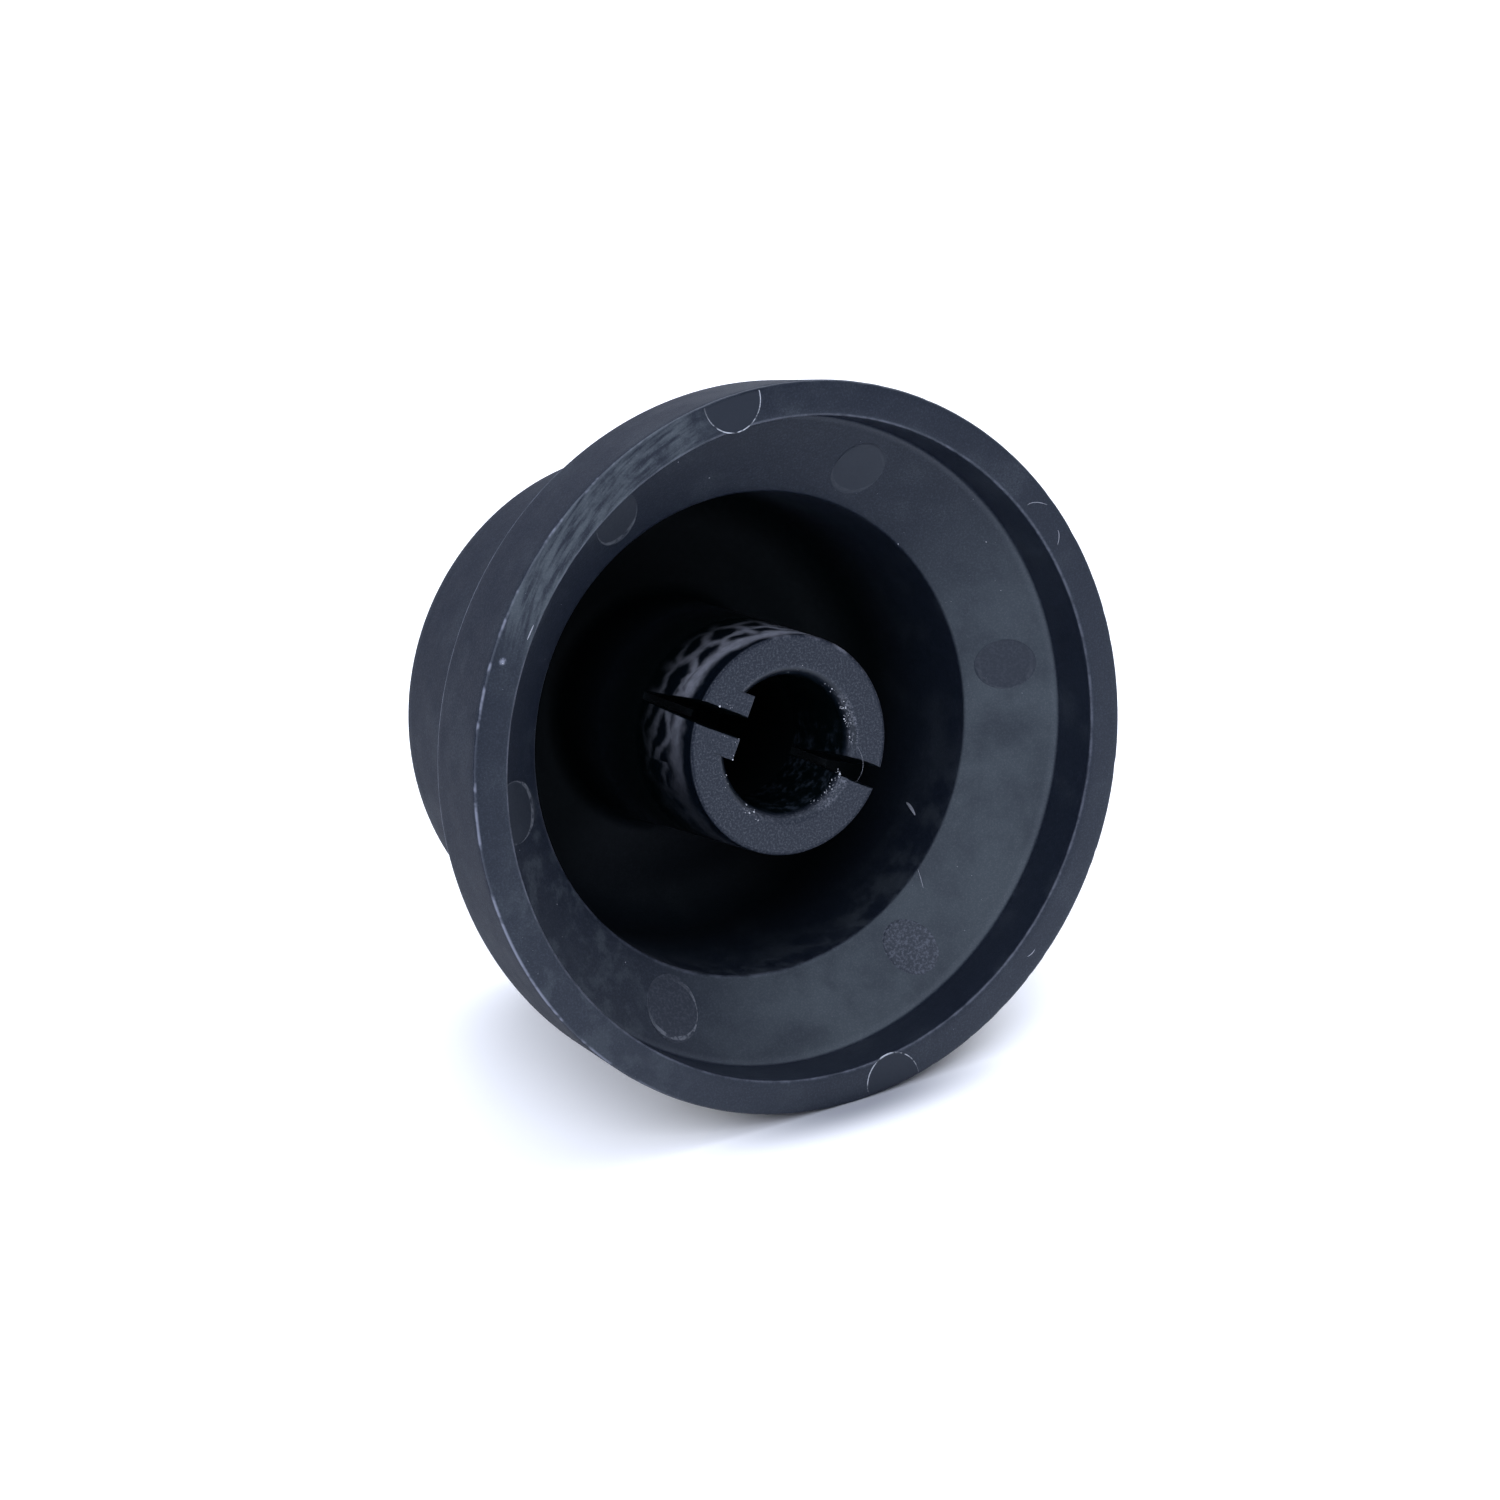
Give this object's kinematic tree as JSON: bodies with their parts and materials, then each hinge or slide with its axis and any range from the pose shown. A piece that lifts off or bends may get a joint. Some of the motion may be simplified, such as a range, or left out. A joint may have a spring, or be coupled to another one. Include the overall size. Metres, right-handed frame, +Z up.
{
  "type": "control knob",
  "caption": "Skirted push-on control knob with a hollow grip and a slotted D-shaft boss inside.",
  "frame": {"origin": "centre of the boss's end face, which is the mouth of the D-shaft socket, on the knob's axis", "axes": "+Y along the shaft from the open side to the closed crown; the open side faces -Y; +Z up, with the flat of the D clocked 30 degrees above -X"},
  "size_m": [0.032, 0.0174, 0.032],
  "materials": {
    "black_plastic": "fine spark-eroded matte, moulded",
    "index_paint": "matte paint fill"
  },
  "bodies": {
    "knob": {"skirt_band": "black_plastic", "skirt_shoulder": "black_plastic", "grip_wall": "black_plastic", "crown": "black_plastic", "index_line": "index_paint", "boss_root": "black_plastic"},
    "upper_jaw": {"upper_jaw": "black_plastic"},
    "lower_jaw": {"lower_jaw": "black_plastic"}
  },
  "joints": [
    {"name": "upper_jaw_flex", "type": "hinge", "parent": "knob", "child": "upper_jaw", "pos_m": [0.00253, 0.00485, 0.00439], "axis": [-0.866, 0, 0.5], "range_deg": [0, 1.2], "stiffness_Nm_per_rad": 9},
    {"name": "lower_jaw_flex", "type": "hinge", "parent": "knob", "child": "lower_jaw", "pos_m": [-0.00253, 0.00485, -0.00439], "axis": [0.866, 0, -0.5], "range_deg": [0, 1.2], "stiffness_Nm_per_rad": 9}
  ]
}
